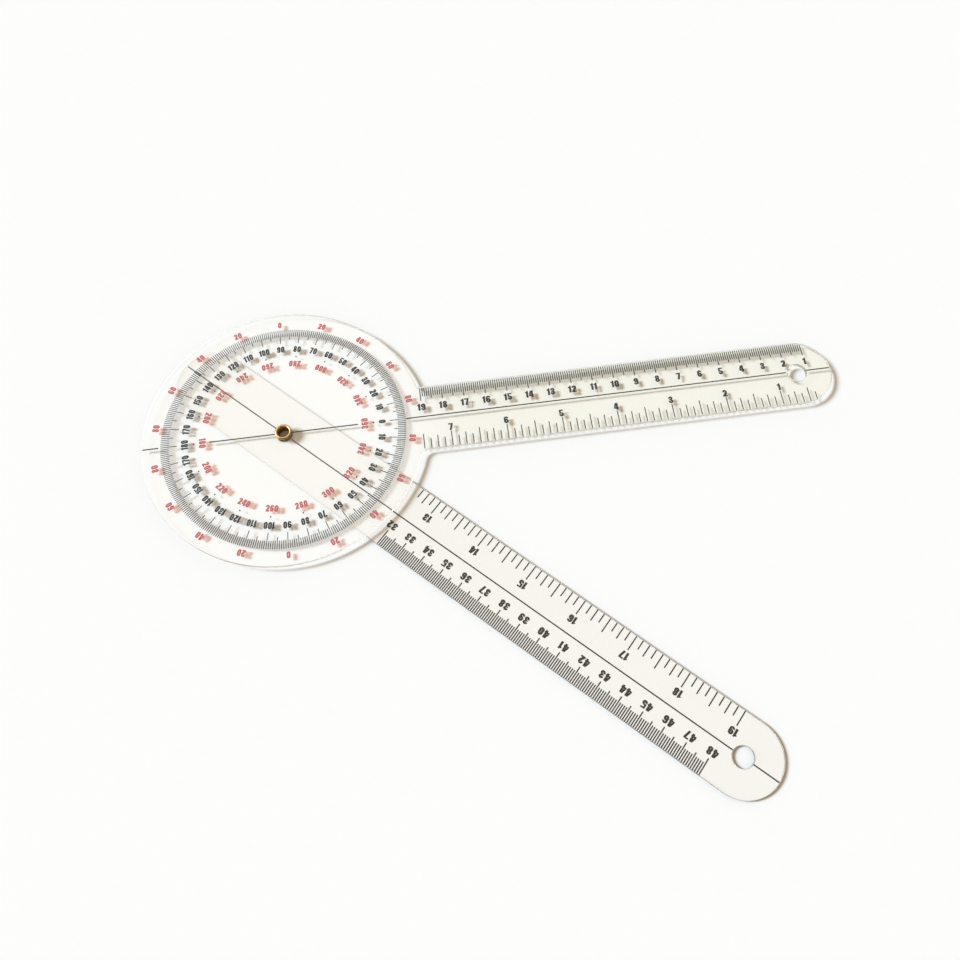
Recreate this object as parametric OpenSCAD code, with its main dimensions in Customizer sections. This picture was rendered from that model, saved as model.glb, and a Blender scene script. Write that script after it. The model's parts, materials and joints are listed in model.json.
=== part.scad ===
// Clear two-arm angle finder.
// A disc with a fixed arm lies on a moving arm, and a hollow brass eyelet joins them at the disc's centre.
// The origin is on the pivot axis at the resting plane, +Z up, and the fixed arm runs along +X.
// All scales are printed on the undersides of the plates, as layers of ink with their own thickness.

/* [Plates] */
// Thickness of each clear plate
plate_t = 1.6; // [1.2:0.1:3]
// Diameter of the degree disc
disc_d = 127; // [118:0.5:150]
// Width of both arms
arm_w = 32; // [28:0.5:40]
// Distance from the pivot to each hang hole, which is also the centre of the arm's round end
hole_reach = 237.5; // [150:0.5:320]
// How far the fixed arm is cut off centre, towards its inch edge
arm_shift = 1; // [0:0.25:2]
// Radius of the hollow corner where the inch edge meets the disc
corner_r = 4.5; // [1:0.5:12]
// How far the moving arm's short end stays inside the disc's edge
tail_inset = 2.5; // [1:0.5:6]
// Angle between the arms
open_angle = 43.8; // [0:0.1:180]

/* [Pivot] */
// Diameter of the hole through the eyelet
eyelet_bore = 5.2; // [4:0.1:7]
// Wall of the eyelet's brass tube
eyelet_wall = 0.3; // [0.2:0.05:0.5]
// How far the eyelet's rolled head reaches past its bore
head_lip = 1.25; // [1:0.05:2.5]
// Height of the middle of the roll above the plate
roll_rise = 0.225; // [0.1:0.025:0.6]
// How far the clinched end under the moving arm reaches past the tube
clinch_lip = 0.8; // [0.6:0.05:2]
// Thickness of the clinched end
clinch_t = 0.35; // [0.25:0.05:0.5]
// Radial clearance between the disc and the eyelet
seat_play = 0.02; // [0.01:0.01:0.05]
// Radial clearance between the moving arm and the eyelet
pivot_play = 0.05; // [0.02:0.01:0.1]
// Radial clearance round the clinched end in its recess
recess_play = 0.25; // [0.1:0.05:0.6]
// Gap between the two plates
plate_gap = 0.3; // [0.15:0.05:0.6]

/* [Hang holes] */
// Diameter of the hang hole in each arm
hang_hole_d = 8.8; // [5:0.1:12]

/* [Print] */
// Thickness of the printed ink
ink_t = 0.05; // [0.03:0.01:0.1]
// Width of a printed line
line_w = 0.35; // [0.2:0.01:0.45]
// How far the print stays off the plates' edges and holes
print_inset = 0.2; // [0.1:0.05:0.5]
// Gap between the reference line and the ring of ticks
line_gap = 0.9; // [0.5:0.05:1.5]

/* [Degree scale] */
// Clear rim between the tick ring and the disc's edge
ring_inset = 8.15; // [6:0.05:12]
// Length of a one-degree tick
degree_tick = 3.75; // [2:0.05:5]
// Length of a five-degree tick
five_tick = 5.4; // [3:0.05:7]
// Length of a ten-degree tick
ten_tick = 7.4; // [5:0.05:9]
// Distance from the outer end of the ticks to the index dots
dot_inset = 14.75; // [12:0.05:18]
// Diameter of an index dot
dot_d = 0.7; // [0.4:0.05:1.2]
// Width of the band of numerals inside the ticks, which the reference line leaves free
numeral_band = 14.4; // [10:0.1:18]

/* [Length scales] */
// Distance from the end of the fixed arm to the zero of its scales
zero_inset = 0.5; // [0:0.1:2]
// How far the ticks run past half the arm's width, where the plate is wide enough
tick_bleed = 0.2; // [0:0.05:0.5]
// Length of a whole centimetre tick
cm_tick = 8; // [6:0.1:10]
// Length of a half-centimetre tick
half_cm_tick = 7; // [5:0.1:9]
// Length of a millimetre tick
mm_tick = 5.7; // [4:0.1:8]
// Length of an inch or half-inch tick
inch_tick = 7.3; // [6:0.1:10]
// Length of a quarter-inch tick
quarter_tick = 6; // [5:0.1:9]
// Length of an eighth-inch tick
eighth_tick = 4.7; // [4:0.1:8]
// Shortest reading on the fixed arm's scales
shortest_reading = 9.5; // [8:0.5:20]
// Least distance from the disc's edge to the moving arm's first tick
disc_clear = 2; // [1:0.5:5]

/* [Hidden] */

$fn = 96;
inch = 25.4;
eps = 0.01;

disc_r = disc_d / 2;
arm_r = arm_w / 2;
hole_r = hang_hole_d / 2;
tail_reach = disc_r - tail_inset;

// Levels above the resting plane, from the bottom up
arm_z = ink_t;
arm_top = arm_z + plate_t;
plate_z = arm_top + plate_gap;
plate_top = plate_z + plate_t;

// The eyelet's section
bore_r = eyelet_bore / 2;
tube_r = bore_r + eyelet_wall;
head_r = bore_r + head_lip;
curl_r = head_lip / 2;
curl_mid_r = bore_r + curl_r;
curl_z = plate_top + roll_rise;
curl_step = 15;
clinch_r = tube_r + clinch_lip;
recess_r = clinch_r + recess_play;

// The degree ring
ring_r = disc_r - ring_inset;
dot_ring_r = ring_r - dot_inset;
numeral_out_r = ring_r - ten_tick;
numeral_in_r = numeral_out_r - numeral_band;

// The fixed arm's edges, and where they leave the disc
cm_edge_y = arm_r - arm_shift;
inch_edge_y = -arm_r - arm_shift;
cm_corner_x = sqrt(disc_r * disc_r - cm_edge_y * cm_edge_y);
inch_corner_x = sqrt(disc_r * disc_r - inch_edge_y * inch_edge_y);
corner_mid_x = sqrt(pow(disc_r + corner_r, 2) - pow(inch_edge_y - corner_r, 2));
corner_mid = [corner_mid_x, inch_edge_y - corner_r];
corner_on_disc = corner_mid * disc_r / (disc_r + corner_r);

// Distance from the arm's middle line to its edge at a distance x from the pivot
function half_width(x) =
    x <= hole_reach ? arm_r : sqrt(max(arm_r * arm_r - pow(x - hole_reach, 2), 0));

// Outer end of a tick: the line that all ticks start from, or the plate's edge where that comes first
tick_outer = arm_r + tick_bleed;
function tick_end(x, shift) = min(tick_outer, half_width(x) + shift - print_inset);

// Inner ends of the ticks of a millimetre scale and of a scale in eighths of an inch
function mm_end(n) = tick_outer - (n % 10 == 0 ? cm_tick : n % 5 == 0 ? half_cm_tick : mm_tick);
function eighth_end(n) = tick_outer - (n % 4 == 0 ? inch_tick : n % 2 == 0 ? quarter_tick : eighth_tick);

// Readings at the ends of each scale, in its own divisions
scale_zero = hole_reach + arm_r - zero_inset;
eighth = inch / 8;
plate_mm_first = ceil(shortest_reading / 10) * 10;
plate_mm_last = floor((scale_zero - cm_corner_x) / 10) * 10;
plate_eighth_first = ceil(shortest_reading / eighth);
plate_eighth_last = floor((scale_zero - inch_corner_x) / (4 * eighth)) * 4;
arm_start = scale_zero + disc_r + disc_clear;
arm_stop = scale_zero + hole_reach - hole_r;
arm_mm_first = ceil(arm_start / 10) * 10;
arm_mm_last = floor(arm_stop / 10) * 10;
arm_eighth_first = ceil(arm_start / eighth);
arm_eighth_last = floor(arm_stop / inch) * 8;

// One printed line along X, from x0 to x1
module line_x(x0, x1) {
    if (x1 - x0 > line_w)
        translate([x0, -line_w / 2, 0])
            cube([x1 - x0, line_w, ink_t]);
}

// One tick across the arm at x, from y0 out to y1 on the given side
module tick(x, y0, y1, side) {
    if (y1 - y0 > line_w)
        translate([x - line_w / 2, side > 0 ? y0 : -y1, 0])
            cube([line_w, y1 - y0, ink_t]);
}

// Puts what belongs to the moving arm at the arm's angle and height
module on_arm(z) {
    rotate(-open_angle)
        translate([0, 0, z])
            children();
}

// A plate with the arm's round end, from x0 out to the end
module arm_bar(x0) {
    translate([x0, -arm_r, 0])
        cube([hole_reach - x0, arm_w, plate_t]);
    translate([hole_reach, 0, 0])
        cylinder(r = arm_r, h = plate_t, $fn = 192);
}

// A hole through a plate
module hole(x, y, r) {
    translate([x, y, -eps])
        cylinder(r = r, h = plate_t + 2 * eps);
}

// The hollow corner between the disc and the inch edge
module corner_web() {
    difference() {
        linear_extrude(plate_t)
            polygon([[0, 0], [corner_mid_x, 0], [corner_mid_x, inch_edge_y], corner_mid, corner_on_disc]);
        translate([corner_mid_x, corner_mid[1], -eps])
            cylinder(r = corner_r, h = plate_t + 2 * eps);
    }
}

module protractor_plate() {
    color([0.93, 0.93, 0.89, 0.35])
        translate([0, 0, plate_z])
            difference() {
                union() {
                    cylinder(r = disc_r, h = plate_t, $fn = 360);
                    translate([0, -arm_shift, 0])
                        arm_bar(0);
                    corner_web();
                }
                hole(0, 0, tube_r + seat_play);
                hole(hole_reach, -arm_shift, hole_r);
            }
}

// A ring of 360 ticks: short at each degree, longer at each fifth and longest at each tenth
module degree_ticks() {
    color("black")
        translate([0, 0, plate_z - ink_t])
            for (a = [0 : 359]) {
                length = a % 10 == 0 ? ten_tick : a % 5 == 0 ? five_tick : degree_tick;
                rotate(a)
                    line_x(ring_r - length, ring_r);
            }
}

// A dot at every twentieth degree, between the two rings of numerals
module index_dots() {
    color("black")
        translate([0, 0, plate_z - ink_t])
            for (a = [0 : 20 : 340])
                rotate(a)
                    translate([dot_ring_r, 0, 0])
                        cylinder(d = dot_d, h = ink_t, $fn = 24);
}

// The line through the pivot along the fixed arm, left open at the eyelet, numerals, ring and hole
module plate_reference_line() {
    pivot_r = tube_r + seat_play + print_inset;
    color("black")
        translate([0, 0, plate_z - ink_t]) {
            line_x(-disc_r + print_inset, -ring_r - line_gap);
            line_x(-numeral_in_r, -pivot_r);
            line_x(pivot_r, numeral_in_r);
            line_x(ring_r + print_inset, hole_reach - hole_r - print_inset);
            line_x(hole_reach + hole_r + print_inset, hole_reach + arm_r - print_inset);
        }
}

module plate_cm_ticks() {
    color("black")
        translate([0, 0, plate_z - ink_t])
            for (n = [plate_mm_first : plate_mm_last]) {
                x = scale_zero - n;
                tick(x, mm_end(n), tick_end(x, -arm_shift), 1);
            }
}

module plate_inch_ticks() {
    color("black")
        translate([0, 0, plate_z - ink_t])
            for (n = [plate_eighth_first : plate_eighth_last]) {
                x = scale_zero - n * eighth;
                tick(x, eighth_end(n), tick_end(x, arm_shift), -1);
            }
}

// The bar with two round ends, the eyelet's hole and the recess that takes the clinched end
module moving_arm() {
    color([0.93, 0.93, 0.89, 0.35])
        on_arm(arm_z)
            difference() {
                union() {
                    arm_bar(arm_r - tail_reach);
                    translate([arm_r - tail_reach, 0, 0])
                        cylinder(r = arm_r, h = plate_t, $fn = 192);
                }
                hole(0, 0, tube_r + pivot_play);
                hole(hole_reach, 0, hole_r);
                translate([0, 0, -eps])
                    cylinder(r = recess_r, h = clinch_t - arm_z + eps);
            }
}

// The line along the moving arm, left open at the recess and the hang hole
module arm_reference_line() {
    color("black")
        on_arm(0) {
            line_x(-tail_reach + print_inset, -recess_r - print_inset);
            line_x(recess_r + print_inset, hole_reach - hole_r - print_inset);
            line_x(hole_reach + hole_r + print_inset, hole_reach + arm_r - print_inset);
        }
}

// The moving arm's scales read on from the fixed arm's zero, past the pivot
module arm_cm_ticks() {
    color("black")
        on_arm(0)
            for (n = [arm_mm_first : arm_mm_last]) {
                x = n - scale_zero;
                tick(x, mm_end(n), tick_end(x, 0), -1);
            }
}

module arm_inch_ticks() {
    color("black")
        on_arm(0)
            for (n = [arm_eighth_first : arm_eighth_last]) {
                x = n * eighth - scale_zero;
                tick(x, eighth_end(n), tick_end(x, 0), 1);
            }
}

// A brass tube with a rolled head on the plate and its other end clinched flat in the arm's recess
module eyelet() {
    hollow_r = curl_r - eyelet_wall;
    outer_arc = [for (a = [0 : curl_step : 180]) [curl_mid_r + curl_r * cos(a), curl_z + curl_r * sin(a)]];
    inner_arc = [for (a = [180 : -curl_step : 0]) [curl_mid_r + hollow_r * cos(a), curl_z + hollow_r * sin(a)]];
    color("goldenrod")
        rotate_extrude()
            polygon(concat(
                [[bore_r, 0], [clinch_r, 0], [clinch_r, clinch_t], [tube_r, clinch_t]],
                inner_arc,
                [[head_r - eyelet_wall, plate_top], [head_r, plate_top]],
                outer_arc
            ));
}

protractor_plate();
degree_ticks();
index_dots();
plate_reference_line();
plate_cm_ticks();
plate_inch_ticks();
moving_arm();
arm_reference_line();
arm_cm_ticks();
arm_inch_ticks();
eyelet();
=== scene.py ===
"""Looks of a clear two-arm angle finder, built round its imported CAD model.

The two clear sheets are made again with rounded edges. The disc's marks keep their CAD meshes and
get ink, and the arms' marks are printed a little bolder. The numerals, the brass eyelet, the floor,
the light and the camera are added. All lengths are in metres, in the frame of the CAD model.
"""

import json
import math

import bmesh
import bpy
import numpy as np
from bpy.props import FloatProperty, FloatVectorProperty, PointerProperty
from mathutils import Matrix, Vector
from mathutils.geometry import tessellate_polygon


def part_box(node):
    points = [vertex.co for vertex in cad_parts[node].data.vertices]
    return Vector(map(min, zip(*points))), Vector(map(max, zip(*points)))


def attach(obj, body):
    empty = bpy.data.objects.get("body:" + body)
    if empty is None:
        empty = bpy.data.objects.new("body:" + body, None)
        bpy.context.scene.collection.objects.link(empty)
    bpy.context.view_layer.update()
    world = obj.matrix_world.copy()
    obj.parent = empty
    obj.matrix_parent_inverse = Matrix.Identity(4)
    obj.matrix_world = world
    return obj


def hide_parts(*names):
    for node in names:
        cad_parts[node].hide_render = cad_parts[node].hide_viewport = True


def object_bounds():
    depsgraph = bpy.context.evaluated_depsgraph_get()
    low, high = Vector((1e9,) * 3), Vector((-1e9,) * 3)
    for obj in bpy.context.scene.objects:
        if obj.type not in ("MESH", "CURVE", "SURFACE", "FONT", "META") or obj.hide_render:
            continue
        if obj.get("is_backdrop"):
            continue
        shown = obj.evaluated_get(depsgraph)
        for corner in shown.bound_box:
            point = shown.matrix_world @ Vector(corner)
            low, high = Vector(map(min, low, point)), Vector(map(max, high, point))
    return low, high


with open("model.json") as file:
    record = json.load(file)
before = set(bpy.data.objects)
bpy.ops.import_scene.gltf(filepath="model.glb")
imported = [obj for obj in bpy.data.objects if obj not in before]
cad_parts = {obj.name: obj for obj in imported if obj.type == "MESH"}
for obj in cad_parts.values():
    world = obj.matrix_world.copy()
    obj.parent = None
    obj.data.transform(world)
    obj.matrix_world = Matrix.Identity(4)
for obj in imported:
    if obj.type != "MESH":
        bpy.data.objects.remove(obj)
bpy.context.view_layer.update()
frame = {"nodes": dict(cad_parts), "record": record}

bl_info = {
    "name": "Angle Finder",
    "version": (1, 0, 0),
    "blender": (4, 5, 0),
    "location": "3D View > Sidebar > Angle Finder",
    "description": "Clear sheets, printed scales, eyelet and studio of a two-arm angle finder",
    "category": "Object",
}

MM = 0.001
INCH = 25.4 * MM

# Points that lie nearer together than this are one
MERGE = 0.001 * MM

# Places that the CAD model gives
MOUNTS = {m["name"]: m for m in frame["record"]["mounts"]}
FIXED_HOLE = Vector(MOUNTS["fixed_arm_hang_hole"]["pos_m"])
MOVING_HOLE = Vector(MOUNTS["moving_arm_hang_hole"]["pos_m"])
HOLE_R = MOUNTS["fixed_arm_hang_hole"]["dims"]["r_mm"] * MM
BORE_R = MOUNTS["eyelet_bore"]["dims"]["r_mm"] * MM
PLATE_LOW, PLATE_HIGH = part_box("protractor_plate")
ARM_LOW, ARM_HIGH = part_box("moving_arm")
EYELET_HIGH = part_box("eyelet")[1]
PLATE_INK = [corner.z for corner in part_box("degree_ticks")]
ARM_INK = [corner.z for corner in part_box("arm_cm_ticks")]
DISC_R = -PLATE_LOW.x
ARM_R = PLATE_HIGH.x - FIXED_HOLE.x
REACH = FIXED_HOLE.x
ARM_TURN = math.atan2(MOVING_HOLE.y, MOVING_HOLE.x)
ARM_TAIL = (-ARM_LOW.x - ARM_R) / math.cos(ARM_TURN)

# The arms' scales share one zero, a little inside the fixed arm's end
SCALE_ZERO = PLATE_HIGH.x - 0.5 * MM


def length(name, description, default):
    """A setting in metres."""
    return FloatProperty(name=name, description=description, default=default, unit="LENGTH")


def number(name, description, default, least=0, most=1):
    """A setting without a unit, between two limits."""
    return FloatProperty(name=name, description=description, default=default, min=least, max=most)


def angle(name, description, degrees):
    """A setting that is an angle, given here in degrees."""
    default = math.radians(degrees)
    return FloatProperty(name=name, description=description, default=default, subtype="ANGLE")


def pair(name, description, default, **kind):
    """Two settings that belong together."""
    return FloatVectorProperty(name=name, description=description, default=default, size=2, **kind)


def colour(name, description, default, brightest=1):
    """A colour, or a coloured light that may be brighter than white."""
    return FloatVectorProperty(
        name=name, description=description, default=default, subtype="COLOR", min=0, max=brightest
    )


class SheetLooks(bpy.types.PropertyGroup):
    """Sizes and colours of the two clear sheets."""

    edge_round: length("Edge round", "Radius of the polished edges", 0.12 * MM)
    inch_corner: length("Inch corner", "Hollow corner between the disc and the inch edge", 4.5 * MM)
    cm_corner: length(
        "Centimetre corner", "Cutter's corner between the disc and the centimetre edge", 0.4 * MM
    )
    seat_r: length("Eyelet hole", "Radius of the disc's hole for the eyelet", 2.92 * MM)
    turn_r: length("Turning hole", "Radius of the moving arm's hole round the eyelet", 2.95 * MM)
    recess_r: length("Recess radius", "Recess for the clinched end of the eyelet", 3.95 * MM)
    recess_top: length("Recess height", "Height of the recess's ceiling above the floor", 0.35 * MM)
    ink_seat: length("Ink seat", "How far the ink's upper face lies inside its sheet", 0.01 * MM)
    face_rough: pair(
        "Face roughness", "Roughness of the flat faces, least and most", (0.004, 0.02), min=0, max=1
    )
    edge_rough: number("Edge roughness", "Roughness of the cut edges", 0.35)
    frosted: number("Frosted share", "How much of a cut edge is frosted", 0.75)
    frost: colour("Frost", "Colour of a cut edge with light behind it", (0.8, 0.78, 0.7))
    # Painted light: the disc's tint and the fixed arm's end tint, blended over the span below,
    # paint a falloff of the light along +X. The one sheet is painted near white at the disc and
    # creamier and darker at the fixed arm's end.
    disc_tint: colour("Disc tint", "Colour of the clear plastic at the disc", (1.0, 0.998, 0.99))
    end_tint: colour(
        "End tint", "Colour of the clear plastic at the fixed arm's end", (0.94, 0.922, 0.848)
    )
    arm_tint: colour("Arm tint", "Colour of the moving arm's plastic", (0.943, 0.921, 0.892))
    tint_span: pair(
        "Tint span", "Where the disc's tint starts and ends its change along +X",
        (0.75 * DISC_R, 1.35 * DISC_R), unit="LENGTH",
    )
    window: colour("Window", "Lamp light that passes each flat face", (1.0, 0.998, 0.992))
    near_edge: colour(
        "Near edge", "Lamp light that passes an edge facing the lamp", (0.95, 0.945, 0.93)
    )
    far_edge: colour("Far edge", "Lamp light that passes an edge facing away", (0.03, 0.02, 0.012))
    shaded: number("Shaded height", "How much of a far edge's height, from below, is dark", 0.6154)
    covered: number("Covered share", "How near a far edge under the disc comes to a near one", 0.65)
    cover_fade: length("Cover fade", "Width of the change at the disc's edge", 2 * MM)


class PrintLooks(bpy.types.PropertyGroup):
    """Sizes and colours of the printed numerals and lines."""

    degree_size: pair(
        "Degree figure", "Width and height of a black degree figure",
        (1.66 * MM, 3.3 * MM), unit="LENGTH",
    )
    red_size: pair(
        "Red figure", "Width and height of a red degree figure",
        (1.66 * MM, 3.15 * MM), unit="LENGTH",
    )
    length_size: pair(
        "Length figure", "Width and height of a figure on the arms",
        (2.12 * MM, 3.5 * MM), unit="LENGTH",
    )
    black_ring: length("Black ring", "Radius of the ring of black degree numerals", 44.6 * MM)
    inner_ring: length("Inner red ring", "Radius of the inner ring of red numerals", 36.6 * MM)
    outer_ring: length("Outer red ring", "Radius of the outer ring of red numerals", 58.4 * MM)
    fixed_cm_row: length(
        "Fixed centimetre row", "Middle of the fixed arm's centimetre numerals", 5.0 * MM
    )
    fixed_inch_row: length("Fixed inch row", "Middle of the fixed arm's inch numerals", -6.8 * MM)
    moving_cm_row: length(
        "Moving centimetre row", "Middle of the moving arm's centimetre numerals", -5.4 * MM
    )
    moving_inch_row: length("Moving inch row", "Middle of the moving arm's inch numerals", 6.2 * MM)
    black: colour("Black ink", "Colour of the black ink", (0.018, 0.013, 0.007))
    red: colour("Red ink", "Colour of the red ink", (0.50, 0.12, 0.115))
    red_film: colour("Red film", "Lamp light that passes a red figure", (0.62, 0.30, 0.25))
    thin_black: number("Thin black", "How much paler the black ink is where it is thin", 0.012)
    thin_red: number("Thin red", "How much paler the red ink is where it is thin", 0.12)
    bolder_fixed: number("Bolder fixed ticks", "Width printed to width drawn", 1.25, 1, 2)
    bolder_moving: number("Bolder moving ticks", "Width printed to width drawn", 1.42, 1, 2)
    bolder_lines: number("Bolder lines", "Width printed to width drawn", 1.6, 1, 2)


class EyeletLooks(bpy.types.PropertyGroup):
    """Sizes and colours of the brass eyelet."""

    wall: length("Wall", "Thickness of the brass", 0.3 * MM)
    clinch_r: length("Clinch radius", "Radius of the clinched end", 3.7 * MM)
    clinch_top: length("Clinch thickness", "Thickness of the clinched end", 0.35 * MM)
    clinch_round: length(
        "Clinch round", "Radius where the tube turns out into the clinched end", 0.2 * MM
    )
    brass: colour("Brass", "Colour of the bright brass", (0.80, 0.56, 0.24))
    # Painted shade: this brown colour is painted down in the bore, and the next share paints shade
    # on the roll's outer flank above the disc.
    dull: colour("Dull brass", "Colour of the dull brass inside the bore", (0.24, 0.12, 0.03))
    dull_outside: number("Dull outside", "How dull the outside of the roll is", 0.7)
    # These fades set where the painted shade of the bore and of the roll's flank begins and ends.
    bore_fade: pair(
        "Bore fade", "Distances beyond the bore between which its dullness fades",
        (0.05 * MM, 0.25 * MM), unit="LENGTH",
    )
    roll_fade: pair(
        "Roll fade", "Distances beyond the bore between which the roll grows dull",
        (0.6 * MM, 0.95 * MM), unit="LENGTH",
    )
    rough: pair("Roughness", "Roughness of the brass, least and most", (0.18, 0.34), min=0, max=1)


class StudioLooks(bpy.types.PropertyGroup):
    """The floor, the light and the camera."""

    floor: colour("Floor", "Colour of the floor", (0.985, 0.987, 0.967))
    floor_reach: length("Floor reach", "How far the floor goes on each side of the object", 6.0)
    floor_gap: length("Floor gap", "Gap between the floor and what rests on it", 0.02 * MM)
    sun_height: angle("Lamp height", "Angle of the key lamp above the floor", 37)
    sun_turn: angle("Lamp turn", "Direction of the key lamp, from +X towards +Y", 163)
    sun_size: angle("Lamp size", "Angle that the key lamp fills, seen from the object", 19)
    key: number("Key light", "Strength of the key lamp", 3.15, 0, 20)
    key_colour: colour("Key colour", "Colour of the key lamp", (1.0, 1.159, 1.318), 2)
    fill: number("Fill light", "Strength of the light from all round", 0.40, 0, 20)
    fill_colour: colour("Fill colour", "Colour of the light from all round", (1.0, 0.76, 0.52))
    window: number("Window", "Strength of the window that bright metal reflects", 9.0, 0, 20)
    ceiling: colour(
        "Ceiling", "Light of the pale ceiling that the sheets mirror", (1.1, 1.07, 1.02), 4
    )
    ceiling_way: FloatVectorProperty(
        name="Ceiling way", description="Direction of the middle of the ceiling",
        default=(0.0, 0.35, 0.937), subtype="DIRECTION",
    )
    walls: colour("Walls", "Light of the dark walls that bright metal mirrors", (0.05, 0.04, 0.03))
    lit_wall: colour("Lit wall", "Light of the wall on the lamp's side", (1.8, 1.7, 1.5), 4)
    lens: FloatProperty(name="Lens", description="Focal length of the camera", default=27.916)
    shift: pair("Shift", "Shift of the camera across and up", (-0.0172, 0.05))
    camera_place: FloatVectorProperty(
        name="Camera place", description="Where the camera stands",
        default=(0.0759, -0.1692, 0.3026), subtype="TRANSLATION",
    )
    camera_lean: angle("Camera lean", "Angle of the camera's view from straight down", 20.423)
    camera_swing: angle("Camera swing", "Turn of the camera about its own upright", 0.314)
    camera_turn: angle("Camera turn", "Turn of the camera about +Z", -7.738)


def looks(name):
    """The scene's settings of one property group."""
    return getattr(bpy.context.scene, name)


# Materials


def new_material(name):
    """A material whose node tree holds only coordinates and an output. Returns the material, its
    tree, the coordinates and the output's surface."""
    material = bpy.data.materials.new(name)
    material.use_nodes = True
    tree = material.node_tree
    tree.nodes.clear()
    output = tree.nodes.new("ShaderNodeOutputMaterial")
    return material, tree, tree.nodes.new("ShaderNodeTexCoord"), output.inputs["Surface"]


def feed(tree, socket, value):
    """Links an input to a socket, or sets it to a value. A colour is given as three numbers."""
    if isinstance(value, bpy.types.NodeSocket):
        tree.links.new(value, socket)
    elif socket.type == "RGBA":
        socket.default_value = (*value, 1)
    else:
        socket.default_value = value


def node(tree, kind, **sockets):
    """A node with some of its inputs fed; an input's name has _ for each space."""
    made = tree.nodes.new(kind)
    for name, value in sockets.items():
        feed(tree, made.inputs[name.replace("_", " ")], value)
    return made


def noise(tree, place, scale, detail=2.0, stretch=None):
    """Noise on object coordinates, with its scale in cycles per metre, stretched if asked."""
    source = place.outputs["Object"]
    if stretch:
        source = node(tree, "ShaderNodeMapping", Scale=stretch, Vector=source).outputs["Vector"]
    made = node(tree, "ShaderNodeTexNoise", Scale=scale, Detail=detail, Vector=source)
    return made.outputs["Fac"]


def remap(tree, value, low, high, to_low, to_high):
    """A value stretched from one range to another and held inside it."""
    ends = {"From_Min": low, "From_Max": high, "To_Min": to_low, "To_Max": to_high}
    return node(tree, "ShaderNodeMapRange", Value=value, **ends).outputs["Result"]


def blend_colour(tree, amount, first, second):
    """A colour that goes from first to second as amount goes from 0 to 1. Each is a colour or a
    socket."""
    made = tree.nodes.new("ShaderNodeMix")
    made.data_type = "RGBA"
    feed(tree, made.inputs["Factor"], amount)
    for socket, value in zip((s for s in made.inputs if s.type == "RGBA"), (first, second)):
        feed(tree, socket, value)
    return next(s for s in made.outputs if s.type == "RGBA")


def choose(tree, amount, first, second):
    """The second shader where amount, a number or a socket, is 1, and the first where it is 0."""
    choice = tree.nodes.new("ShaderNodeMixShader")
    for socket, value in zip(choice.inputs, (amount, first, second)):
        feed(tree, socket, value)
    return choice.outputs["Shader"]


def combine(tree, operation, first, second):
    """Two values put together by a Math node. Each is a number or a socket."""
    made = tree.nodes.new("ShaderNodeMath")
    made.operation = operation
    for socket, value in zip(made.inputs, (first, second)):
        feed(tree, socket, value)
    return made.outputs["Value"]


def along(tree, place, axis):
    """Distance from the pivot along X or Y, or height above the plane of rest, Z."""
    return node(tree, "ShaderNodeSeparateXYZ", Vector=place.outputs["Object"]).outputs[axis]


def from_pivot(tree, place):
    """Distance from the pivot's axis."""
    level = node(tree, "ShaderNodeMapping", Scale=(1, 1, 0), Vector=place.outputs["Object"])
    away = node(tree, "ShaderNodeVectorMath", Vector=level.outputs["Vector"])
    away.operation = "LENGTH"
    return away.outputs["Value"]


def sheet_plastic(tree, place, tint, end_tint, rough):
    """The sheets' clear plastic. Its tint goes from the first colour to the second along +X, where
    the fixed arm leaves the disc. This change is a painted falloff of the light: the disc is
    painted lighter, and the fixed arm's end creamier and darker."""
    change = remap(tree, along(tree, place, "X"), *looks("angle_sheets").tint_span, 0, 1)
    plastic = node(
        tree, "ShaderNodeBsdfPrincipled", Transmission_Weight=1.0, IOR=1.49, Roughness=rough,
        Base_Color=blend_colour(tree, change, tint, end_tint),
    )
    return plastic.outputs["BSDF"]


def let_lamps_through(tree, shader, tint, surface):
    """The shader for light that is seen, and a see-through window of the tint for light on its way
    from a lamp, after a matt bounce, or trapped between the faces for over two bounces."""
    path = tree.nodes.new("ShaderNodeLightPath").outputs
    trapped = remap(tree, path["Ray Depth"], 2, 3, 0, 1)
    straight = combine(tree, "MAXIMUM", path["Is Shadow Ray"], path["Diffuse Depth"])
    straight = combine(tree, "MAXIMUM", straight, trapped)
    window = node(tree, "ShaderNodeBsdfTransparent", Color=tint).outputs["BSDF"]
    tree.links.new(choose(tree, straight, shader, window), surface)


def clear_sheet_material(name, tint, end_tint):
    """Clear cast sheet: glass-smooth faces with faint handling marks."""
    sheet = looks("angle_sheets")
    material, tree, place, surface = new_material(name)
    marks = noise(tree, place, scale=260, detail=1.0, stretch=(1.0, 0.3, 1.0))
    rough = remap(tree, marks, 0.4, 0.7, *sheet.face_rough)
    plastic = sheet_plastic(tree, place, tint, end_tint, rough)
    let_lamps_through(tree, plastic, sheet.window, surface)
    return material


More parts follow.
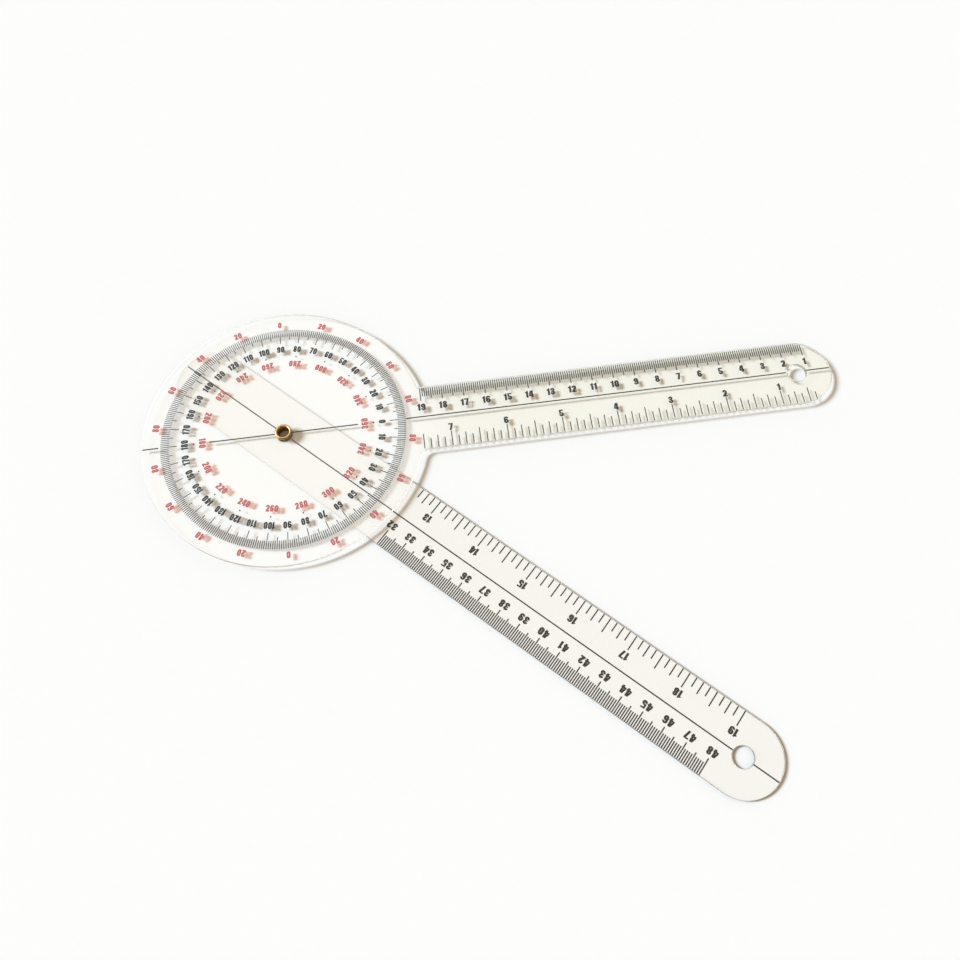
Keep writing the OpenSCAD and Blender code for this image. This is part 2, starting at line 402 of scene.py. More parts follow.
def cut_edge_material(name, tint, end_tint, low, high, clean_r=None):
    """Cut edge of the sheet between the heights low and high: half-polished, so that it glows where
    light comes through from behind and looks dark where none does. It holds back some of a lamp's
    light: the lower part of an edge that faces away from the lamp throws it inwards, and one that
    faces the lamp still lets most of it spread out below. Nearer to the pivot than clean_r another
    sheet covers the edge, and most light comes through."""
    sheet = looks("angle_sheets")
    material, tree, place, surface = new_material(name)
    grain = noise(tree, place, scale=4000, stretch=(1.0, 1.0, 0.2))
    rough = remap(tree, grain, 0.3, 0.7, 0.8 * sheet.edge_rough, 1.2 * sheet.edge_rough)
    plastic = sheet_plastic(tree, place, tint, end_tint, rough)
    frost = node(tree, "ShaderNodeBsdfTranslucent", Color=sheet.frost)
    cut = choose(tree, sheet.frosted, plastic, frost.outputs["BSDF"])
    shaded = low + sheet.shaded * (high - low)
    rise = remap(tree, along(tree, place, "Z"), shaded, high, 0, 1)
    far = blend_colour(tree, rise, sheet.far_edge, sheet.near_edge)
    if clean_r:
        fade = clean_r - sheet.cover_fade
        covered = remap(tree, from_pivot(tree, place), fade, clean_r, sheet.covered, 0)
        far = blend_colour(tree, covered, far, sheet.near_edge)
    facing = tree.nodes.new("ShaderNodeNewGeometry").outputs["Backfacing"]
    let_lamps_through(tree, cut, blend_colour(tree, facing, far, sheet.near_edge), surface)
    return material


def ink_material(name, shade, paler, film):
    """Screen-printed ink: a matt colour, a little paler in fine patches where it is thin. A lamp's
    light passes it with the colour of the film, so red ink has a reddish shadow."""
    material, tree, place, surface = new_material(name)
    thin = [min(1, c + paler) for c in shade]
    patches = remap(tree, noise(tree, place, scale=2600, detail=4.0), 0.48, 0.78, 0, 1)
    ink = node(
        tree, "ShaderNodeBsdfPrincipled", Roughness=0.55, Specular_IOR_Level=0.3,
        Base_Color=blend_colour(tree, patches, shade, thin),
    )
    passed = node(tree, "ShaderNodeBsdfTransparent", Color=film)
    lamp_ray = tree.nodes.new("ShaderNodeLightPath").outputs["Is Shadow Ray"]
    tree.links.new(choose(tree, lamp_ray, ink.outputs["BSDF"], passed.outputs["BSDF"]), surface)
    return material


def brass_material():
    """Rolled brass with fine drawn lines and rougher patches. Its colour is bright brass. A dark
    brown painted shade lies down in the bore, darker the deeper, and a lighter painted shade lies
    round the outer flank of its roll, above the disc."""
    eyelet = looks("angle_eyelet")
    material, tree, place, surface = new_material("rolled_brass")
    radius, rise = from_pivot(tree, place), along(tree, place, "Z")
    bore_fade = [BORE_R + d for d in eyelet.bore_fade]
    roll_fade = [BORE_R + d for d in eyelet.roll_fade]
    # Painted shade: brown inside the bore, darker the deeper, and a share of it on the roll's outer
    # flank above the disc.
    inside = remap(tree, radius, *bore_fade, 1, 0)
    deep = remap(tree, rise, PLATE_LOW.z, EYELET_HIGH.z - eyelet.wall, 1, 0)
    outside = remap(tree, radius, *roll_fade, 0, eyelet.dull_outside)
    above = remap(tree, rise, PLATE_HIGH.z - eyelet.wall, PLATE_HIGH.z, 0, 1)
    bore = combine(tree, "MULTIPLY", deep, inside)
    roll = combine(tree, "MULTIPLY", outside, above)
    dull = combine(tree, "MAXIMUM", bore, roll)
    patches = noise(tree, place, scale=2200, detail=3.0)
    lines = noise(tree, place, scale=6000, stretch=(0.2, 0.2, 3.0))
    bump = node(tree, "ShaderNodeBump", Strength=0.12, Distance=0.02 * MM, Height=lines)
    metal = node(
        tree, "ShaderNodeBsdfPrincipled", Metallic=1.0, Normal=bump.outputs["Normal"],
        Base_Color=blend_colour(tree, dull, eyelet.brass, eyelet.dull),
        Roughness=remap(tree, patches, 0.3, 0.7, *eyelet.rough),
    )
    tree.links.new(metal.outputs["BSDF"], surface)
    return material


def floor_material():
    """Matt pale table top with the faintest grain."""
    studio = looks("angle_studio")
    material, tree, place, surface = new_material("pale_floor")
    grain = remap(tree, noise(tree, place, scale=300, detail=4.0), 0.3, 0.7, 0, 1)
    darker = [0.994 * c for c in studio.floor]
    top = node(
        tree, "ShaderNodeBsdfPrincipled", Roughness=0.9, Specular_IOR_Level=0.1,
        Base_Color=blend_colour(tree, grain, studio.floor, darker),
    )
    tree.links.new(top.outputs["BSDF"], surface)
    return material


def sky_patch(tree, sky, way, outer, inner):
    """A soft round patch of sky round the direction way: 0 where the cosine of the angle to it is
    outer, and 1 where it is inner. Round straight up, with outer the larger, it is a band along the
    horizon."""
    towards = node(tree, "ShaderNodeVectorMath", Vector=sky.outputs["Generated"])
    towards.operation = "DOT_PRODUCT"
    towards.inputs[1].default_value = way
    return remap(tree, towards.outputs["Value"], outer, inner, 0, 1)


# Meshes


def add_piece(name, vertices, faces, material, corner_normals=None):
    """A mesh object, smooth where it is given a normal for each face corner."""
    mesh = bpy.data.meshes.new(name)
    mesh.from_pydata(vertices, [], faces)
    mesh.materials.append(material)
    if corner_normals is not None:
        mesh.shade_smooth()
        mesh.normals_split_custom_set(corner_normals)
    piece = bpy.data.objects.new(name, mesh)
    bpy.context.scene.collection.objects.link(piece)
    return piece


def arc(centre, radius, start, stop, step, side=1):
    """Points and outward normals along an arc: centre + radius * (cos t, sin t) for t from start to
    stop. The normal is (cos t, sin t), turned inwards where side is -1, as in a hollow corner."""
    count = max(2, math.ceil(abs(stop - start) / step)) + 1
    t = np.linspace(start, stop, count)
    out = np.column_stack((np.cos(t), np.sin(t)))
    return np.asarray(centre) + radius * out, side * out


def joined(*stretches):
    """One closed outline from arcs that follow each other; straight edges run between them. Where
    two arcs touch, the point that they share is kept once."""
    points, normals = (np.concatenate(part) for part in zip(*stretches))
    apart = np.linalg.norm(points - np.roll(points, -1, axis=0), axis=1) > MERGE
    return points[apart], normals[apart]


def hole_edge(x, y, radius, step=math.radians(5)):
    """A hole's outline, run clockwise so that its outward side is the hole's inside."""
    points, normals = arc((x, y), radius, 0, -2 * math.pi, step, side=-1)
    return points[:-1], normals[:-1]


def turned(points, turn):
    """Points or normals turned about the origin: (x cos a - y sin a, x sin a + y cos a)."""
    c, s = math.cos(turn), math.sin(turn)
    return points @ np.array([[c, s], [-s, c]])


def disc_and_arm_outline(inch_corner, cm_corner):
    """Outline of the disc with its fixed arm: the disc's arc, a hollow corner, the arm's round end
    and the other hollow corner. A hollow corner of radius r that touches the disc and an edge at y
    has its centre r beyond the edge, at distance disc + r from the pivot."""
    inch_y = FIXED_HOLE.y - ARM_R - inch_corner
    cm_y = FIXED_HOLE.y + ARM_R + cm_corner
    inch_mid = (math.sqrt((DISC_R + inch_corner) ** 2 - inch_y ** 2), inch_y)
    cm_mid = (math.sqrt((DISC_R + cm_corner) ** 2 - cm_y ** 2), cm_y)
    inch_angle, cm_angle = (math.atan2(y, x) for x, y in (inch_mid, cm_mid))
    fine = math.radians(1.5)
    coarse = math.radians(9)
    half = math.pi / 2
    return joined(
        arc((0, 0), DISC_R, cm_angle, 2 * math.pi + inch_angle, fine),
        arc(inch_mid, inch_corner, math.pi + inch_angle, half, coarse, side=-1),
        arc(FIXED_HOLE.xy, ARM_R, -half, half, math.radians(3)),
        arc(cm_mid, cm_corner, -half, -math.pi + cm_angle, coarse, side=-1),
    )


def moving_arm_outline():
    """Outline of the moving arm: a round end at the hang hole and one behind the pivot."""
    half = math.pi / 2
    points, normals = joined(
        arc((REACH, 0), ARM_R, -half, half, math.radians(3)),
        arc((-ARM_TAIL, 0), ARM_R, half, 3 * half, math.radians(3)),
    )
    return turned(points, ARM_TURN), turned(normals, ARM_TURN)


def round_edge(low, high, radius, step_below=0.0, step_top=0.0, steps=3):
    """Profile of a sheet's edge, from its lower face to its upper one, as rows of
    (inset, height, outward part of the normal, upward part of the normal).
    Each rounding is a quarter circle. A step, for a recess from below, is a wall step_below further
    in that ends in a flat ceiling at step_top. Where the normal turns sharply, a row is given
    twice."""
    t = np.linspace(0, math.pi / 2, steps + 1)
    c, s = np.cos(t), np.sin(t)
    bottom = np.column_stack((step_below + radius * (1 - s), low + radius * (1 - c), s, -c))
    top = np.column_stack((radius * (1 - c), high - radius * (1 - s), c, s))
    if not step_below:
        return np.concatenate((bottom, top))
    ceiling = [(step_below, step_top, 1, 0), (step_below, step_top, 0, -1),
               (0, step_top, 0, -1), (0, step_top, 1, 0)]
    return np.concatenate((bottom, ceiling, top))


def filled(loops, up):
    """Triangles between closed loops, as numbers of the loops' points in order, wound so that they
    face up where up is 1 and down where it is -1."""
    triangles = np.array(tessellate_polygon([[Vector((*p, 0)) for p in loop] for loop in loops]))
    a, b, c = (np.concatenate(loops)[triangles[:, k]] for k in range(3))
    area = (b - a)[:, 0] * (c - a)[:, 1] - (b - a)[:, 1] * (c - a)[:, 0]
    wrong = area * up < 0
    triangles[wrong] = triangles[wrong][:, ::-1]
    return triangles


def raised(flat, heights):
    """Rows of flat points or normals with each row's own height, or upward part, added."""
    upward = np.broadcast_to(heights[:, None, None], flat.shape[:2] + (1,))
    return np.concatenate((flat, upward), axis=2)


def sheet_piece(name, edges, material, edge_material):
    """A flat sheet. Each edge is an outline and a profile, and the profile is carried along the
    outline: a point lies at outline - inset * normal, at the profile's height. The lower and upper
    faces are triangles between the first or last rows of all the edges."""
    vertices, faces, normals, rims = [], [], [], {"low": [], "high": []}
    first = 0
    for (points, outward), profile in edges:
        count = len(points)
        same = np.all(np.isclose(profile[1:, :2], profile[:-1, :2], atol=1e-9), axis=1)
        place = np.concatenate(([0], np.cumsum(~same)))
        rows = profile[np.concatenate(([True], ~same))]
        spread = points[None] - rows[:, 0, None, None] * outward[None]
        vertices.append(raised(spread, rows[:, 1]).reshape(-1, 3))
        tilt = raised(profile[:, 2, None, None] * outward[None], profile[:, 3])
        here = np.arange(count)
        ahead = np.roll(here, -1)
        for j in np.flatnonzero(~same):
            low, high = first + place[j] * count, first + place[j + 1] * count
            faces.append(np.column_stack((low + here, low + ahead, high + ahead, high + here)))
            turning = (tilt[j], tilt[j][ahead], tilt[j + 1][ahead], tilt[j + 1])
            normals.append(np.stack(turning, axis=1))
        rims["low"].append(first + here)
        rims["high"].append(first + place[-1] * count + here)
        first += len(rows) * count
    vertices = np.concatenate(vertices)
    quads = np.concatenate(faces)
    corner_normals = [np.concatenate(normals).reshape(-1, 3)]
    caps = []
    for side, up in (("low", -1.0), ("high", 1.0)):
        index = np.concatenate(rims[side])
        triangles = index[filled([vertices[rim, :2] for rim in rims[side]], up)]
        caps.append(triangles)
        corner_normals.append(np.tile((0.0, 0.0, up), (triangles.size, 1)))
    triangles = np.concatenate(caps)
    piece = add_piece(
        name,
        vertices.tolist(),
        quads.tolist() + triangles.tolist(),
        material,
        np.concatenate(corner_normals).tolist(),
    )
    piece.data.materials.append(edge_material)
    piece.data.polygons.foreach_set("material_index", [1] * len(quads) + [0] * len(triangles))
    return piece


# Numerals

# Figures are drawn in units of a hundredth of their height
FIGURE_TALL = 100
FIGURE_WIDE = 52
FIGURE_GAP = 7
STEM = 24
BAR = 20


def bow(x, y, rx, ry, start, stop, step=30):
    """Points of an ellipse's arc: (x + rx cos t, y + ry sin t), t in degrees from start to stop."""
    count = max(2, math.ceil(abs(stop - start) / step)) + 1
    t = np.radians(np.linspace(start, stop, count))
    return np.column_stack((x + rx * np.cos(t), y + ry * np.sin(t)))


def oval(x, low, high, rx, ry):
    """A closed oval between two heights: half an ellipse at each end and straight sides between."""
    return np.concatenate((bow(x, low + ry, rx, ry, 180, 360), bow(x, high - ry, rx, ry, 0, 180)))


def corners(*points):
    """Corner points of an outline."""
    return np.array(points, float)


def figure_loops():
    """Outlines of ten bold, narrow figures: the outer loop first, then the counters. They share the
    stem, the bar, and bowls of the full width whose counters are what the stems leave."""
    wide, tall = FIGURE_WIDE, FIGURE_TALL
    mid = wide / 2
    eye = mid - STEM
    six = np.concatenate((
        bow(mid, 28, mid, 28, 180, 360),
        bow(mid, 36, mid, 28, 0, 99),
        bow(mid, 76, eye, 8, 180, 0),
        corners((mid + eye, 69), (wide, 69)),
        bow(mid, 73, mid, 27, 0, 180),
    ))
    six_eye = oval(mid, BAR, 46, eye, 8)
    half_turn = np.array([wide, tall])
    return {
        "0": [oval(mid, 0, tall, mid, 27), oval(mid, BAR, tall - BAR, eye, 9)],
        "1": [corners(
            (12, 0), (12 + STEM, 0), (12 + STEM, 100), (20, 100), (15, 88), (1, 83), (1, 69),
            (12, 69),
        )],
        "2": [np.concatenate((
            corners((0, 0), (52, 0), (52, BAR), (33, BAR), (51, 52)),
            bow(mid, 72, mid, 28, -15, 180),
            corners((0, 66), (STEM, 66)),
            bow(mid, 72, eye, 10, 180, -25),
            corners((1, 20)),
        ))],
        "3": [np.concatenate((
            bow(mid, 28, mid, 28, 180, 410),
            corners((38, 52)),
            bow(mid, 75, mid - 1, 25, -50, 180),
            corners((1, 69), (STEM, 69)),
            bow(mid, 74, eye, 8, 180, -60),
            corners((20, 61), (8, 61), (8, 43), (20, 43)),
            bow(mid, 30, eye, 12, 60, -180),
            corners((STEM, 36), (0, 36)),
        ))],
        "4": [
            corners((24, 0), (48, 0), (48, 18), (54, 18), (54, 38), (48, 38), (48, 100), (16, 100),
                    (0, 44), (0, 18), (24, 18)),
            corners((18, 38), (24, 38), (24, 62)),
        ],
        "5": [np.concatenate((
            bow(mid, 31, mid, 31, 180, 460),
            corners((21, 82), (49, 82), (49, 100), (2, 100), (1, 44), (STEM, 44)),
            bow(mid, 33, eye, 13, 125, -180),
            corners((STEM, 37), (0, 37)),
        ))],
        "6": [six, six_eye],
        "7": [corners((9, 0), (33, 0), (51, 80), (51, 100), (1, 100), (1, 81), (28, 81))],
        "8": [
            np.concatenate((
                bow(mid, 28, mid, 28, 150, 390),
                corners((46, 53)),
                bow(mid, 75, mid - 1.5, 25, -38, 218),
                corners((6, 53)),
            )),
            oval(mid, BAR, 43, eye, 7),
            oval(mid, 62, 83, eye, 7),
        ],
        "9": [half_turn - six, half_turn - six_eye],
    }


def figure_templates():
    """Each figure as points, cap triangles, wall edges and width, ready to be set many times."""
    made = {}
    for figure, loops in figure_loops().items():
        points = np.concatenate(loops)
        walls, first = [], 0
        for loop in loops:
            here = first + np.arange(len(loop))
            ahead = np.roll(here, -1)
            x, y = loop.T
            winding = np.sum(x * np.roll(y, -1) - np.roll(x, -1) * y)
            forward = (winding > 0) == (loop is loops[0])
            walls.append(np.column_stack((here, ahead) if forward else (ahead, here)))
            first += len(loop)
        wide = float(np.ptp(points[:, 0]))
        made[figure] = (points, filled(loops, 1), np.concatenate(walls), wide)
    return made


def numeral_piece(name, labels, width, height, levels, material):
    """A slab of ink for every figure of every label. A label is (text, x, y, up), where up is the
    angle of the figures' upright direction; the label is centred on (x, y). A figure's point (u, v)
    goes to centre + u * right + v * up, with right a quarter turn clockwise from up."""
    templates = figure_templates()
    across, upright = width / FIGURE_WIDE, height / FIGURE_TALL
    vertices, faces, first = [], [], 0
    for text, x, y, up in labels:
        widths = [templates[figure][3] for figure in text]
        start = -(sum(widths) + FIGURE_GAP * (len(text) - 1)) / 2
        right_way = np.array((math.sin(up), -math.cos(up)))
        up_way = np.array((math.cos(up), math.sin(up)))
        for figure, wide in zip(text, widths):
            points, triangles, walls, _ = templates[figure]
            u = (points[:, 0] - points[:, 0].min() + start) * across
            v = (points[:, 1] - FIGURE_TALL / 2) * upright
            flat = np.array((x, y)) + u[:, None] * right_way + v[:, None] * up_way
            vertices += [np.column_stack((flat, np.full(len(flat), z))) for z in levels]
            above = first + len(flat)
            faces += (first + triangles[:, ::-1]).tolist()
            faces += (above + triangles).tolist()
            faces += np.column_stack((first + walls, above + walls[:, ::-1])).tolist()
            first += 2 * len(flat)
            start += wide + FIGURE_GAP
    return add_piece(name, np.concatenate(vertices).tolist(), faces, material)


def ring_labels(texts, radius, inwards=False):
    """Labels round the pivot: texts maps an angle in degrees to its text, with heads out or in."""
    turn = math.pi if inwards else 0
    placed = zip(map(math.radians, texts), texts.values())
    return [(text, radius * math.cos(a), radius * math.sin(a), a + turn) for a, text in placed]


def moving_labels(texts, row):
    """Labels on the moving arm: texts maps a distance from the pivot to its text. Heads point to
    the centimetre edge, so the labels read towards the pivot."""
    placed = turned(np.array([(x, row) for x in texts]), ARM_TURN)
    return [(text, x, y, ARM_TURN - math.pi / 2) for text, (x, y) in zip(texts.values(), placed)]


def bolder_marks(name, source, factor, zero, pitch=None):
    """A merged copy of one arm's printed marks with each mark made wider. A tick's points move away
    from their own tick's middle along the arm, by factor times their distance to it; the middles
    lie at zero plus whole pitches. A line along the arm has no pitch, and its points move away from
    the arm's middle."""
    bold = source.data.copy()
    bold.name = name
    shape = bmesh.new()
    shape.from_mesh(bold)
    bmesh.ops.remove_doubles(shape, verts=shape.verts, dist=MERGE)
    shape.to_mesh(bold)
    shape.free()
    points = np.empty(3 * len(bold.vertices))
    bold.vertices.foreach_get("co", points)
    points = points.reshape(-1, 3)
    turn = ARM_TURN if name.startswith("arm") else 0.0
    flat = turned(points[:, :2], -turn)
    if pitch:
        middle = zero + pitch * np.round((flat[:, 0] - zero) / pitch)
        flat[:, 0] = middle + factor * (flat[:, 0] - middle)
    else:
        flat[:, 1] *= factor
    points[:, :2] = turned(flat, turn)
    bold.vertices.foreach_set("co", points.ravel())
    bold.update()
    piece = bpy.data.objects.new(name, bold)
    bpy.context.scene.collection.objects.link(piece)
    return piece


# Eyelet


def eyelet_section(eyelet):
    """Closed section of the brass wall as (radius, height), run with the brass on its left: the
    clinched end, the roll's hollow inside seen from the tube, the lip, the roll and the bore."""
    tube_r = BORE_R + eyelet.wall
    head_r = EYELET_HIGH.x
    roll_r = (head_r - BORE_R) / 2
    roll_mid = BORE_R + roll_r
    roll_z = EYELET_HIGH.z - roll_r
    hollow_r = roll_r - eyelet.wall
    lip = eyelet.wall / 2
    soft = eyelet.clinch_round
    edge = eyelet.clinch_top / 2
    return np.concatenate((
        bow(BORE_R + soft, soft, soft, soft, 180, 270, step=18),
        bow(eyelet.clinch_r - edge, edge, edge, edge, -90, 90, step=22.5),
        bow(tube_r + soft / 2, eyelet.clinch_top + soft / 2, soft / 2, soft / 2, 270, 180),
        [(tube_r, (eyelet.clinch_top + roll_z) / 2)],
        bow(roll_mid, roll_z, hollow_r, hollow_r, 180, 0, step=15),
        bow(head_r - lip, PLATE_HIGH.z + lip, lip, lip, 180, 360, step=22.5),
        bow(roll_mid, roll_z, roll_r, roll_r, 0, 180, step=9),
        [(BORE_R, roll_z * share) for share in (0.8, 0.6, 0.4, 0.2)],
    ))


def lathe_piece(name, section, material, steps=120):
    """A closed section turned round the pivot: (r cos t, r sin t, z) for t round a full turn."""
    t = np.linspace(0, 2 * math.pi, steps, endpoint=False)
    r, z = section.T
    count = len(section)
    grid = (np.outer(np.cos(t), r), np.outer(np.sin(t), r), np.tile(z, (steps, 1)))
    grid = np.stack(grid, axis=2)
    here = np.arange(steps * count).reshape(steps, count)
    over, ahead = np.roll(here, -1, axis=1), np.roll(here, -1, axis=0)
    faces = np.stack((here, ahead, np.roll(over, -1, axis=0), over), axis=2).reshape(-1, 4)
    piece = add_piece(name, grid.reshape(-1, 3).tolist(), faces.tolist(), material)
    piece.data.shade_smooth()
    return piece


# Operators


class ANGLE_OT_clear_sheets(bpy.types.Operator):
    """Makes the disc with its fixed arm and the moving arm as clear sheets with rounded edges"""

    bl_idname = "angle.clear_sheets"
    bl_label = "Clear Sheets"

    def execute(self, context):
        sheet = looks("angle_sheets")
        low, high = PLATE_LOW.z - sheet.ink_seat, PLATE_HIGH.z
        plain = round_edge(low, high, sheet.edge_round)
        edges = [
            (disc_and_arm_outline(sheet.inch_corner, sheet.cm_corner), plain),
            (hole_edge(0, 0, sheet.seat_r), plain),
            (hole_edge(*FIXED_HOLE.xy, HOLE_R), plain),
        ]
        # The disc sheet's tint is painted darker towards the fixed arm's end, a painted falloff of
        # the light.
        plastic = clear_sheet_material("disc_plastic", sheet.disc_tint, sheet.end_tint)
        cut = cut_edge_material("disc_cut_edge", sheet.disc_tint, sheet.end_tint, low, high)
        disc = sheet_piece("disc_sheet", edges, plastic, cut)
        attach(disc, "protractor")
        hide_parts("protractor_plate")

        low, high = ARM_LOW.z - sheet.ink_seat, ARM_HIGH.z
        plain = round_edge(low, high, sheet.edge_round)
        recess = sheet.recess_r - sheet.turn_r
        stepped = round_edge(low, high, sheet.edge_round / 2, recess, sheet.recess_top)
        edges = [
            (moving_arm_outline(), plain),
            (hole_edge(0, 0, sheet.turn_r), stepped),
            (hole_edge(*MOVING_HOLE.xy, HOLE_R), plain),
        ]
        plastic = clear_sheet_material("arm_plastic", sheet.arm_tint, sheet.arm_tint)
        cut = cut_edge_material("arm_cut_edge", sheet.arm_tint, sheet.arm_tint, low, high, DISC_R)
        arm = sheet_piece("arm_sheet", edges, plastic, cut)
        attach(arm, "arm")
        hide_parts("moving_arm")
        return {"FINISHED"}


class ANGLE_OT_scale_ink(bpy.types.Operator):
    """Puts black ink on the disc's marks and prints the arms' marks a little bolder than drawn"""

    bl_idname = "angle.scale_ink"
    bl_label = "Scale Ink"

    def execute(self, context):
        ink = looks("angle_print")
        black = bpy.data.materials["black_ink"]
        for name, piece in frame["nodes"].items():
            if name.endswith(("_ticks", "_dots", "_line")):
                piece.material_slots[0].material = black
        marks = (
            ("plate_cm_ticks", ink.bolder_fixed, SCALE_ZERO, MM),
            ("plate_inch_ticks", ink.bolder_fixed, SCALE_ZERO, INCH / 8),
            ("plate_reference_line", ink.bolder_lines, 0, None),
            ("arm_cm_ticks", ink.bolder_moving, -SCALE_ZERO, MM),
            ("arm_inch_ticks", ink.bolder_moving, -SCALE_ZERO, INCH / 8),
            ("arm_reference_line", ink.bolder_lines, 0, None),
        )
        for name, factor, zero, pitch in marks:
            piece = bolder_marks(name + "_bold", frame["nodes"][name], factor, zero, pitch)
            piece.material_slots[0].material = black
            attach(piece, "arm" if name.startswith("arm") else "protractor")
            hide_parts(name)
        return {"FINISHED"}


class ANGLE_OT_degree_numerals(bpy.types.Operator):
    """Prints the three rings of degree numerals on the disc"""

    bl_idname = "angle.degree_numerals"
    bl_label = "Degree Numerals"

    def execute(self, context):
        ink = looks("angle_print")
        black = {a: str(abs(a)) for a in range(-170, 181, 10)}
        inner = {a: str(360 - abs(a)) for a in range(-160, 181, 20)}
        outer = {a: str(abs(90 - abs(a))) for a in range(-170, 171, 20)}
        black = ring_labels(black, ink.black_ring)
        inner = ring_labels(inner, ink.inner_ring, inwards=True)
        outer = ring_labels(outer, ink.outer_ring)
        rings = (
            ("black_degree_numerals", black, ink.degree_size, "black_ink", "black_print"),
            ("inner_red_numerals", inner, ink.red_size, "red_ink", "red_print"),
            ("outer_red_numerals", outer, ink.red_size, "red_ink", "red_print"),
        )
        for name, labels, size, material, slot in rings:
            piece = numeral_piece(name, labels, *size, PLATE_INK, bpy.data.materials[material])
            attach(piece, "protractor")
        return {"FINISHED"}


class ANGLE_OT_length_numerals(bpy.types.Operator):
    """Prints the centimetre and inch numerals on both arms"""

    bl_idname = "angle.length_numerals"
    bl_label = "Length Numerals"

    def execute(self, context):
        ink = looks("angle_print")
        up = math.pi / 2
        fixed_cm = [(str(n), SCALE_ZERO - 10 * n * MM, ink.fixed_cm_row, up) for n in range(1, 20)]
        fixed_inch = [(str(n), SCALE_ZERO - n * INCH, ink.fixed_inch_row, up) for n in range(1, 8)]
        moving_cm = {10 * n * MM - SCALE_ZERO: str(n) for n in range(32, 49)}
        moving_inch = {n * INCH - SCALE_ZERO: str(n) for n in range(13, 20)}
        moving_cm = moving_labels(moving_cm, ink.moving_cm_row)
        moving_inch = moving_labels(moving_inch, ink.moving_inch_row)
        rows = (
            ("fixed_cm_numerals", fixed_cm, PLATE_INK, "protractor"),
            ("fixed_inch_numerals", fixed_inch, PLATE_INK, "protractor"),
            ("moving_cm_numerals", moving_cm, ARM_INK, "arm"),
            ("moving_inch_numerals", moving_inch, ARM_INK, "arm"),
        )
        black = bpy.data.materials["black_ink"]
        for name, labels, levels, body in rows:
            piece = numeral_piece(name, labels, *ink.length_size, levels, black)
            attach(piece, body)
        return {"FINISHED"}


class ANGLE_OT_inks(bpy.types.Operator):
    """Mixes the black and the red ink"""

    bl_idname = "angle.inks"
    bl_label = "Inks"

    def execute(self, context):
        ink = looks("angle_print")
        ink_material("black_ink", ink.black, ink.thin_black, ink.black)
        ink_material("red_ink", ink.red, ink.thin_red, ink.red_film)
        return {"FINISHED"}


class ANGLE_OT_eyelet(bpy.types.Operator):
    """Turns the hollow brass eyelet with its rolled head and clinched end"""

    bl_idname = "angle.eyelet"
    bl_label = "Brass Eyelet"

    def execute(self, context):
        piece = lathe_piece("brass_eyelet", eyelet_section(looks("angle_eyelet")), brass_material())
        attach(piece, "protractor")
        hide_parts("eyelet")
        return {"FINISHED"}


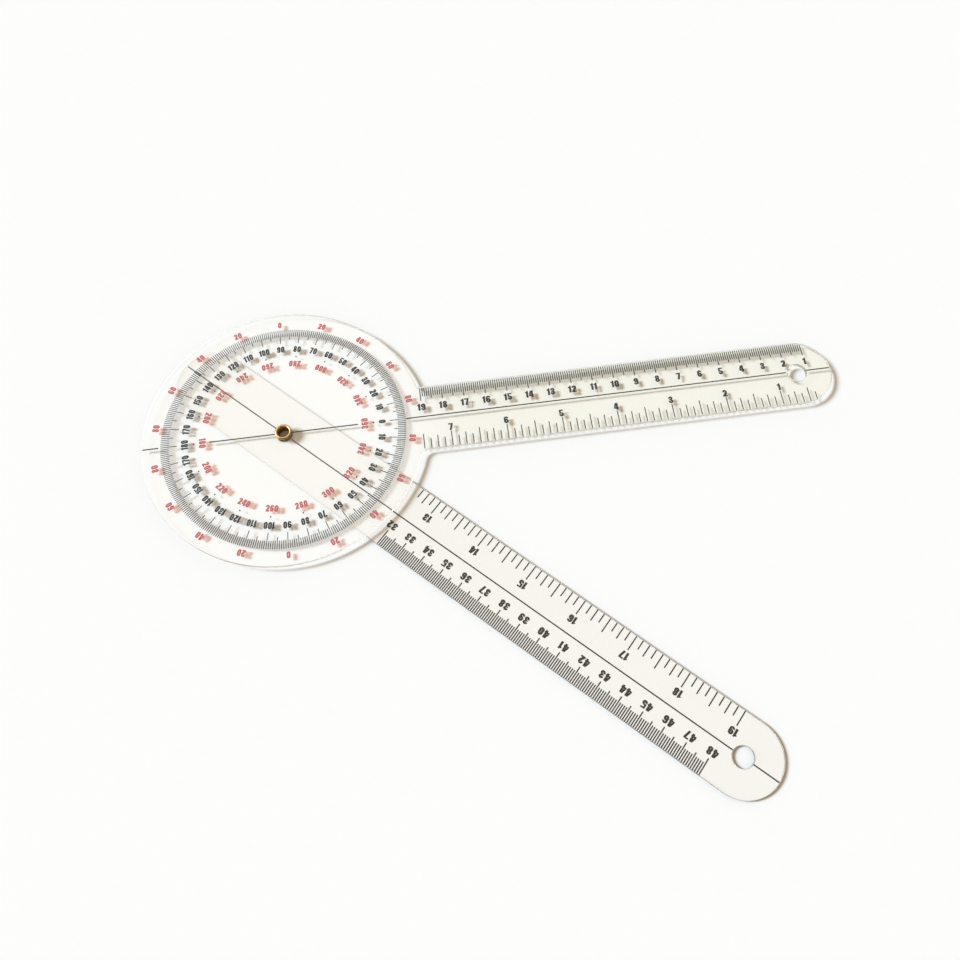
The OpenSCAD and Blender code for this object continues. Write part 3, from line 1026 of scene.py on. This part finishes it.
class ANGLE_OT_studio(bpy.types.Operator):
    """Lays the pale floor and sets the key lamp, the light all round and the camera"""

    bl_idname = "angle.studio"
    bl_label = "Studio"

    def execute(self, context):
        studio = looks("angle_studio")
        turn, rise = studio.sun_turn, studio.sun_height
        level = math.cos(rise)
        lamp_way = Vector((math.cos(turn) * level, math.sin(turn) * level, math.sin(rise)))
        self.lay_floor(studio)
        self.hang_lamp(studio, lamp_way)
        self.light_room(studio, lamp_way)
        self.aim_camera(studio)
        return {"FINISHED"}

    def lay_floor(self, studio):
        """A flat square of floor, centred on the object, a hair under what rests on it."""
        low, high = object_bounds()
        middle = (low + high) / 2
        level = low.z - studio.floor_gap
        ends = studio.floor_reach * np.array(((-1, -1), (1, -1), (1, 1), (-1, 1)))
        points = [(middle.x + x, middle.y + y, level) for x, y in ends]
        add_piece("floor", points, [(0, 1, 2, 3)], floor_material())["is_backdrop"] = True

    def hang_lamp(self, studio, way):
        """A soft key lamp far to one side. Metal mirrors the room's window in its place."""
        lamp = bpy.data.lights.new("key_lamp", "SUN")
        lamp.energy = studio.key
        lamp.angle = studio.sun_size
        lamp.color = studio.key_colour
        key = bpy.data.objects.new("key_lamp", lamp)
        key.rotation_euler = way.to_track_quat("Z", "Y").to_euler()
        key.visible_glossy = key.visible_transmission = False
        bpy.context.scene.collection.objects.link(key)

    def light_room(self, studio, way):
        """Even light from all round. Seen straight or through the sheets it is as pale as the
        floor, and mirrored it is a room: dark walls with a pale band along the horizon, a lit wall
        low on the lamp's side, a pale ceiling, and a window where the lamp is."""
        world = bpy.data.worlds.new("studio_air")
        world.use_nodes = True
        tree = world.node_tree
        tree.nodes.clear()
        output = tree.nodes.new("ShaderNodeOutputWorld")
        path = tree.nodes.new("ShaderNodeLightPath").outputs
        sky = tree.nodes.new("ShaderNodeTexCoord")
        lit_way = Vector((way.x, way.y, 0.1)).normalized()
        window = (studio.window,) * 3
        around = studio.walls
        for middle, outer, inner, light in (
            ((0, 0, 1), 0.5, 0.2, studio.floor),
            (lit_way, 0.55, 0.9, studio.lit_wall),
            (studio.ceiling_way, 0.77, 0.87, studio.ceiling),
            (way, 0.935, 0.975, window),
        ):
            patch = sky_patch(tree, sky, middle, outer, inner)
            around = blend_colour(tree, patch, around, light)
        room = node(tree, "ShaderNodeBackground", Color=around)
        seen = node(tree, "ShaderNodeBackground", Color=studio.floor)
        air = node(tree, "ShaderNodeBackground", Color=studio.fill_colour, Strength=studio.fill)
        view = choose(tree, path["Is Glossy Ray"], seen.outputs[0], room.outputs[0])
        direct = combine(tree, "LESS_THAN", path["Diffuse Depth"], 0.5)
        tree.links.new(choose(tree, direct, air.outputs[0], view), output.inputs["Surface"])
        world.cycles.sampling_method = "NONE"
        bpy.context.scene.world = world

    def aim_camera(self, studio):
        """A camera nearly straight above, leaning back towards -Y, as the photograph was taken."""
        data = bpy.data.cameras.new("camera")
        data.lens = studio.lens
        data.sensor_width = 36
        data.shift_x, data.shift_y = studio.shift
        data.clip_start = 0.01
        camera = bpy.data.objects.new("camera", data)
        turn = Matrix.Rotation(studio.camera_turn, 4, "Z")
        lean = Matrix.Rotation(studio.camera_lean, 4, "X")
        swing = Matrix.Rotation(studio.camera_swing, 4, "Y")
        camera.matrix_world = Matrix.Translation(studio.camera_place) @ turn @ lean @ swing
        bpy.context.scene.collection.objects.link(camera)
        bpy.context.scene.camera = camera
        bpy.context.scene.view_settings.view_transform = "Standard"


class ANGLE_PT_panel(bpy.types.Panel):
    """Lists the steps that dress the angle finder"""

    bl_idname = "ANGLE_PT_panel"
    bl_label = "Angle Finder"
    bl_space_type = "VIEW_3D"
    bl_region_type = "UI"
    bl_category = "Angle Finder"

    def draw(self, context):
        for step in STEPS:
            self.layout.operator(step.bl_idname)
        for name in GROUPS:
            settings = getattr(context.scene, name)
            for prop in settings.bl_rna.properties:
                if not prop.is_readonly and prop.identifier != "name":
                    self.layout.prop(settings, prop.identifier)


GROUPS = {
    "angle_sheets": SheetLooks,
    "angle_print": PrintLooks,
    "angle_eyelet": EyeletLooks,
    "angle_studio": StudioLooks,
}
STEPS = (
    ANGLE_OT_inks,
    ANGLE_OT_clear_sheets,
    ANGLE_OT_scale_ink,
    ANGLE_OT_degree_numerals,
    ANGLE_OT_length_numerals,
    ANGLE_OT_eyelet,
    ANGLE_OT_studio,
)


def register():
    for cls in (*GROUPS.values(), *STEPS, ANGLE_PT_panel):
        bpy.utils.register_class(cls)
    for name, cls in GROUPS.items():
        setattr(bpy.types.Scene, name, PointerProperty(type=cls))


def unregister():
    for name in GROUPS:
        delattr(bpy.types.Scene, name)
    for cls in (ANGLE_PT_panel, *reversed(STEPS), *reversed(GROUPS.values())):
        bpy.utils.unregister_class(cls)


def main():
    """Dresses the model step by step."""
    register()
    bpy.ops.angle.inks()
    bpy.ops.angle.clear_sheets()
    bpy.ops.angle.scale_ink()
    bpy.ops.angle.degree_numerals()
    bpy.ops.angle.length_numerals()
    bpy.ops.angle.eyelet()
    bpy.ops.angle.studio()


if __name__ == "__main__":
    main()
